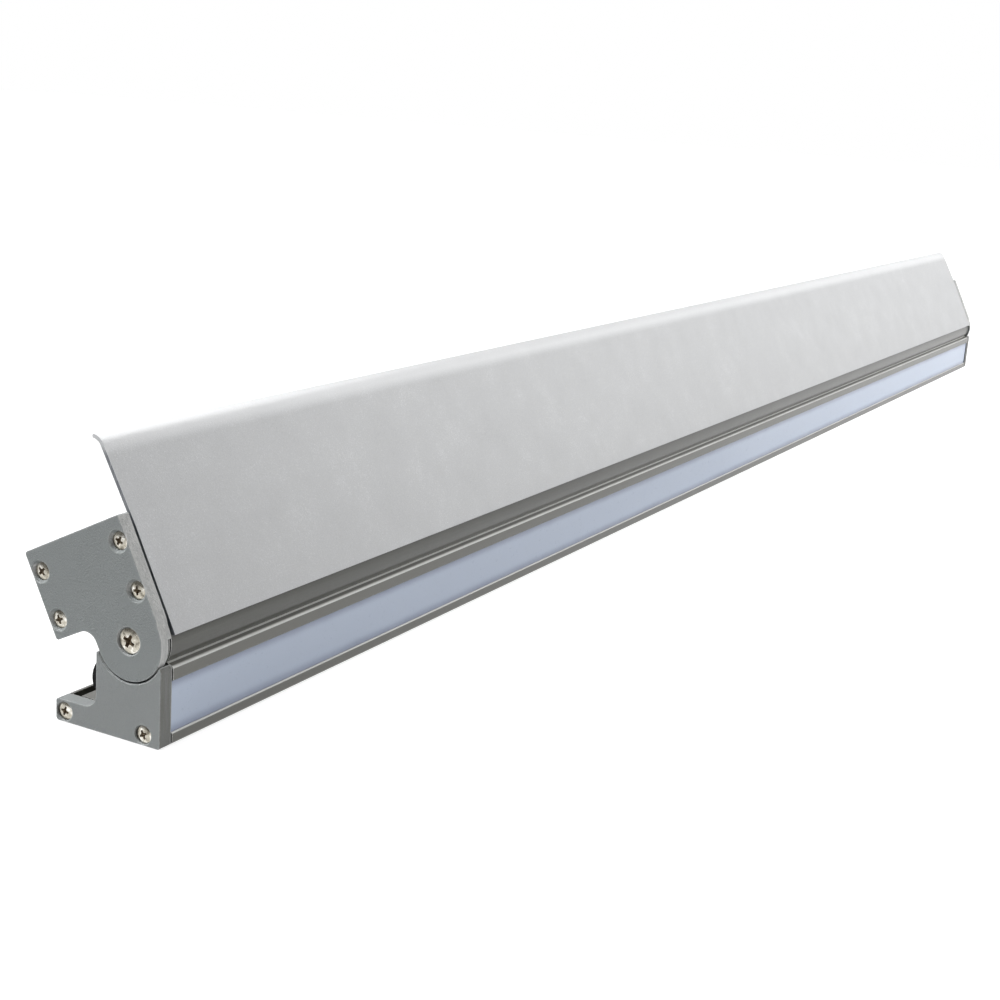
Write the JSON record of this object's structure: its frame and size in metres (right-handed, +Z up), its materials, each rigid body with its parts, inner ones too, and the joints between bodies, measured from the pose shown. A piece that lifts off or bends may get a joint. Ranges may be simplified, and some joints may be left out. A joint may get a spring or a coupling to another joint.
{
  "type": "linear wall washer light",
  "caption": "Long slim outdoor wall washer: a lamp body with a frosted front on a flat foot, and a driver housing with a curled visor that tilts above it.",
  "frame": {"origin": "middle of the flat base, between the two end faces and between its front and rear edges", "axes": "+X along the light towards its right end, -Y the way the lit front faces, +Z up, at right angles to the flat base"},
  "size_m": [1, 0.0558, 0.0892],
  "materials": {
    "lamp_aluminium": "satin grey anodised extrusion",
    "cap_paint": "fine grained grey powder coat on a cast end cap",
    "visor_aluminium": "satin light grey extrusion",
    "driver_aluminium": "satin grey extrusion",
    "case_aluminium": "plain drawn case",
    "gasket_rubber": "black cellular rubber",
    "seal_rubber": "dark silicone rubber",
    "pad_rubber": "soft thermal pad",
    "screw_steel": "stainless with a warm tone",
    "washer_plastic": "dark sliding washer",
    "opal_diffuser": "frosted opal cover",
    "board_white": "white coated metal-core board",
    "board_green": "green circuit board",
    "chip_yellow": "phosphor coated chip",
    "terminal_plastic": "white connector plastic",
    "parts_plastic": "wound core and capacitor sleeves",
    "gland_plastic": "black nylon"
  },
  "bodies": {
    "lamp_body": {"lamp_housing": "lamp_aluminium", "lamp_end_cap_left": "cap_paint", "lamp_end_cap_right": "cap_paint", "lamp_gasket_left": "gasket_rubber", "lamp_gasket_right": "gasket_rubber", "lamp_cap_screws_left": "screw_steel", "lamp_cap_screws_right": "screw_steel", "diffuser": "opal_diffuser", "diffuser_seals": "seal_rubber", "led_board_left": "board_white", "led_board_right": "board_white", "led_chips": "chip_yellow", "board_screws": "screw_steel", "thermal_pads": "pad_rubber", "board_terminal": "terminal_plastic", "board_link": "terminal_plastic", "lamp_gland_body": "gland_plastic", "lamp_gland_nut": "gland_plastic", "lamp_gland_seal": "seal_rubber", "lamp_gland_washer": "seal_rubber", "lamp_gland_locknut": "gland_plastic", "pivot_screw_left": "screw_steel", "pivot_screw_right": "screw_steel", "pivot_washer_left": "washer_plastic", "pivot_washer_right": "washer_plastic"},
    "visor_head": {"driver_housing": "driver_aluminium", "driver_end_cap_left": "cap_paint", "driver_end_cap_right": "cap_paint", "driver_gasket_left": "gasket_rubber", "driver_gasket_right": "gasket_rubber", "driver_cap_screws_left": "screw_steel", "driver_cap_screws_right": "screw_steel", "visor": "visor_aluminium", "driver_case": "case_aluminium", "driver_covers": "gland_plastic", "driver_board": "board_green", "driver_parts": "parts_plastic", "driver_screws": "screw_steel", "link_gland_body": "gland_plastic", "link_gland_nut": "gland_plastic", "link_gland_seal": "seal_rubber", "link_gland_washer": "seal_rubber", "link_gland_locknut": "gland_plastic", "supply_gland_body": "gland_plastic", "supply_gland_nut": "gland_plastic", "supply_gland_seal": "seal_rubber", "supply_gland_washer": "seal_rubber", "supply_gland_locknut": "gland_plastic"}
  },
  "joints": [
    {"name": "visor_tilt", "type": "hinge", "parent": "lamp_body", "child": "visor_head", "pos_m": [0, -0.0078, 0.031], "axis": [1, 0, 0], "range_deg": [-10, 36]}
  ]
}
